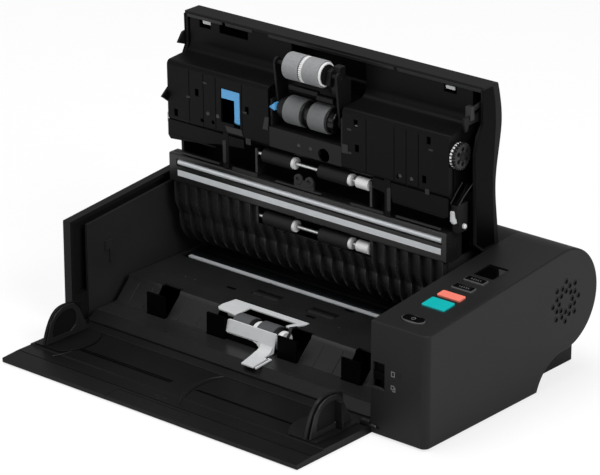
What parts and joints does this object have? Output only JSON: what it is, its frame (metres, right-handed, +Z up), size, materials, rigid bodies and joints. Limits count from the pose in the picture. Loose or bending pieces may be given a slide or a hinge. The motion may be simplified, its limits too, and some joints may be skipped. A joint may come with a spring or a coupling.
{
  "type": "sheet-fed document scanner",
  "caption": "Sheet-fed desktop scanner with its cover raised and paper tray lowered, showing feed rollers, scan bars and the curved paper path.",
  "frame": {"origin": "middle of the footprint on the table, with the tray lowered", "axes": "+X to the right along the width, +Y from the front to the rear, +Z up"},
  "size_m": [0.424, 0.3422, 0.2732],
  "materials": {
    "body_black": "fine satin texture",
    "housing_black": "fine satin texture",
    "guide_black": "moulded, half matt",
    "gloss_black": "glossy",
    "key_black": "satin",
    "teal": "satin, start key",
    "coral": "satin, stop key",
    "light_grey": "satin",
    "roller_light": "ribbed rubber",
    "roller_dark": "rubber",
    "white_plastic": "satin",
    "white_bar": "even white",
    "blue": "satin",
    "steel": "ground",
    "glass": "polished",
    "board_green": "solder mask",
    "foot_rubber": "matt",
    "bracket_grey": "satin"
  },
  "bodies": {
    "base": {"left_side_panel": "body_black", "left_inner_frame": "guide_black", "right_housing": "housing_black", "right_inner_frame": "guide_black", "base_chassis": "guide_black", "lower_bed": "guide_black", "outer_turn_guide": "guide_black", "rear_shell": "body_black", "rear_lower_casing": "body_black", "rear_sockets": "gloss_black", "rubber_feet": "foot_rubber", "lower_scan_sensor": "gloss_black", "lower_scan_glass": "glass", "lower_white_strip": "white_bar", "display_window": "gloss_black", "main_board": "board_green", "speaker": "steel", "drive_motor": "steel", "cover_hinge_pins": "steel", "tray_hinge_pins": "steel", "retard_shaft": "light_grey"},
    "power_button": {"power_button": "key_black"},
    "start_button": {"start_button": "teal"},
    "stop_button": {"stop_button": "coral"},
    "mode_key_front": {"mode_key_front": "key_black"},
    "mode_key_rear": {"mode_key_rear": "key_black"},
    "path_lever": {"path_lever": "key_black"},
    "path_flap": {"path_flap": "guide_black"},
    "stoppers": {"stopper_flaps": "guide_black"},
    "retard_rollers": {"retard_rollers": "roller_dark"},
    "retard_cover": {"retard_cover": "light_grey"},
    "registration_idlers": {"registration_idlers": "guide_black"},
    "exit_idlers": {"exit_idlers": "guide_black"},
    "tray": {"tray_panel": "body_black"},
    "tray_extension": {"tray_extension": "body_black"},
    "left_guide": {"left_paper_guide": "guide_black"},
    "right_guide": {"right_paper_guide": "guide_black"},
    "guide_pinion": {"guide_pinion": "white_plastic"},
    "cover": {"top_cover": "body_black", "inner_guide": "guide_black", "roller_bracket": "bracket_grey", "upper_scan_box": "gloss_black", "upper_white_strip": "white_bar", "turn_guide": "guide_black"},
    "platen": {"platen_roller": "white_bar"},
    "feed_set": {"feed_shaft": "steel", "feed_hubs": "key_black", "feed_rollers": "roller_dark", "feed_gear": "key_black"},
    "pickup_arm": {"pickup_arm": "guide_black"},
    "pickup_set": {"pickup_hub": "white_plastic", "pickup_rollers": "roller_light"},
    "registration_set": {"registration_shaft": "steel", "registration_rollers": "roller_dark", "registration_hubs": "white_plastic"},
    "exit_set": {"exit_shaft": "steel", "exit_rollers": "roller_dark", "exit_hubs": "white_plastic"},
    "release_lever": {"release_lever": "blue"},
    "latch": {"latch_hooks": "guide_black"}
  },
  "joints": [
    {"name": "cover_hinge", "type": "hinge", "parent": "base", "child": "cover", "pos_m": [0, 0.1047, 0.09675], "axis": [1, 0, 0], "range_deg": [0, 89]},
    {"name": "tray_hinge", "type": "hinge", "parent": "base", "child": "tray", "pos_m": [0, -0.0721, 0.008], "axis": [1, 0, 0], "range_deg": [-90, 0]},
    {"name": "tray_extension_slide", "type": "slide", "parent": "tray", "child": "tray_extension", "axis": [0, -1, 0], "range_m": [0, 0.045]},
    {"name": "right_guide_slide", "type": "slide", "parent": "tray", "child": "right_guide", "axis": [-1, 0, 0], "range_m": [0, 0.11]},
    {"name": "left_guide_slide", "type": "slide", "parent": "tray", "child": "left_guide", "axis": [1, 0, 0], "range_m": [0, 0.11]},
    {"name": "guide_pinion_spin", "type": "hinge", "parent": "tray", "child": "guide_pinion", "pos_m": [-0.0255, -0.1136, 0.0045], "axis": [0, 0, -1], "range_deg": [0, 701]},
    {"name": "power_press", "type": "slide", "parent": "base", "child": "power_button", "axis": [0, 0.0985, -0.9951], "range_m": [0, 0.001], "stiffness_N_per_m": 800},
    {"name": "start_press", "type": "slide", "parent": "base", "child": "start_button", "axis": [0, 0.0985, -0.9951], "range_m": [0, 0.001], "stiffness_N_per_m": 800},
    {"name": "stop_press", "type": "slide", "parent": "base", "child": "stop_button", "axis": [0, 0.0985, -0.9951], "range_m": [0, 0.001], "stiffness_N_per_m": 800},
    {"name": "mode_front_press", "type": "slide", "parent": "base", "child": "mode_key_front", "axis": [0, 0.0985, -0.9951], "range_m": [0, 0.001], "stiffness_N_per_m": 800},
    {"name": "mode_rear_press", "type": "slide", "parent": "base", "child": "mode_key_rear", "axis": [0, 0.0985, -0.9951], "range_m": [0, 0.001], "stiffness_N_per_m": 800},
    {"name": "path_lever_slide", "type": "slide", "parent": "base", "child": "path_lever", "axis": [0, 0, 1], "range_m": [0, 0.008]},
    {"name": "path_flap_turn", "type": "hinge", "parent": "base", "child": "path_flap", "pos_m": [0, 0.1244, 0.0354], "axis": [-1, 0, 0], "range_deg": [0, 24]},
    {"name": "stopper_fold", "type": "hinge", "parent": "base", "child": "stoppers", "pos_m": [0, -0.0286, 0.0115], "axis": [1, 0, 0], "range_deg": [-55, 0]},
    {"name": "retard_spin", "type": "hinge", "parent": "base", "child": "retard_rollers", "pos_m": [0, -0.0154, 0.0256], "axis": [1, 0, 0], "continuous": true},
    {"name": "retard_cover_lift", "type": "hinge", "parent": "base", "child": "retard_cover", "pos_m": [0, 0.0054, 0.0351], "axis": [1, 0, 0], "range_deg": [-80, 0]},
    {"name": "registration_idler_spin", "type": "hinge", "parent": "base", "child": "registration_idlers", "pos_m": [0, 0.0344, 0.0327], "axis": [1, 0, 0], "continuous": true},
    {"name": "exit_idler_spin", "type": "hinge", "parent": "base", "child": "exit_idlers", "pos_m": [0, 0.0954, 0.0327], "axis": [1, 0, 0], "continuous": true},
    {"name": "feed_spin", "type": "hinge", "parent": "cover", "child": "feed_set", "pos_m": [0, 0.05789, 0.21425], "axis": [1, 0, 0], "continuous": true},
    {"name": "pickup_arm_pivot", "type": "hinge", "parent": "cover", "child": "pickup_arm", "pos_m": [0, 0.05789, 0.21425], "axis": [1, 0, 0], "range_deg": [-8, 6], "stiffness_Nm_per_rad": 1},
    {"name": "pickup_spin", "type": "hinge", "parent": "pickup_arm", "child": "pickup_set", "pos_m": [0, 0.05243, 0.25796], "axis": [1, 0, 0], "continuous": true},
    {"name": "registration_spin", "type": "hinge", "parent": "cover", "child": "registration_set", "pos_m": [0, 0.05243, 0.16615], "axis": [1, 0, 0], "continuous": true},
    {"name": "exit_spin", "type": "hinge", "parent": "cover", "child": "exit_set", "pos_m": [0, 0.0535, 0.10516], "axis": [1, 0, 0], "continuous": true},
    {"name": "platen_spin", "type": "hinge", "parent": "cover", "child": "platen", "pos_m": [0, 0.05006, 0.1355], "axis": [1, 0, 0], "continuous": true},
    {"name": "release_lever_turn", "type": "hinge", "parent": "cover", "child": "release_lever", "pos_m": [0, 0.0506, 0.19062], "axis": [-1, 0, 0], "range_deg": [-60, 0]},
    {"name": "latch_turn", "type": "hinge", "parent": "cover", "child": "latch", "pos_m": [0, 0.08636, 0.24525], "axis": [1, 0, 0], "range_deg": [-10, 10], "stiffness_Nm_per_rad": 0.6}
  ],
  "couplings": [
    {"joint": "left_guide_slide", "follows": "right_guide_slide", "ratio": 1},
    {"joint": "guide_pinion_spin", "follows": "right_guide_slide", "rad_per_m": 111.11},
    {"joint": "path_flap_turn", "follows": "path_lever_slide", "rad_per_m": 52.3},
    {"joint": "pickup_spin", "follows": "feed_spin", "ratio": 1},
    {"joint": "exit_spin", "follows": "registration_spin", "ratio": 1}
  ]
}
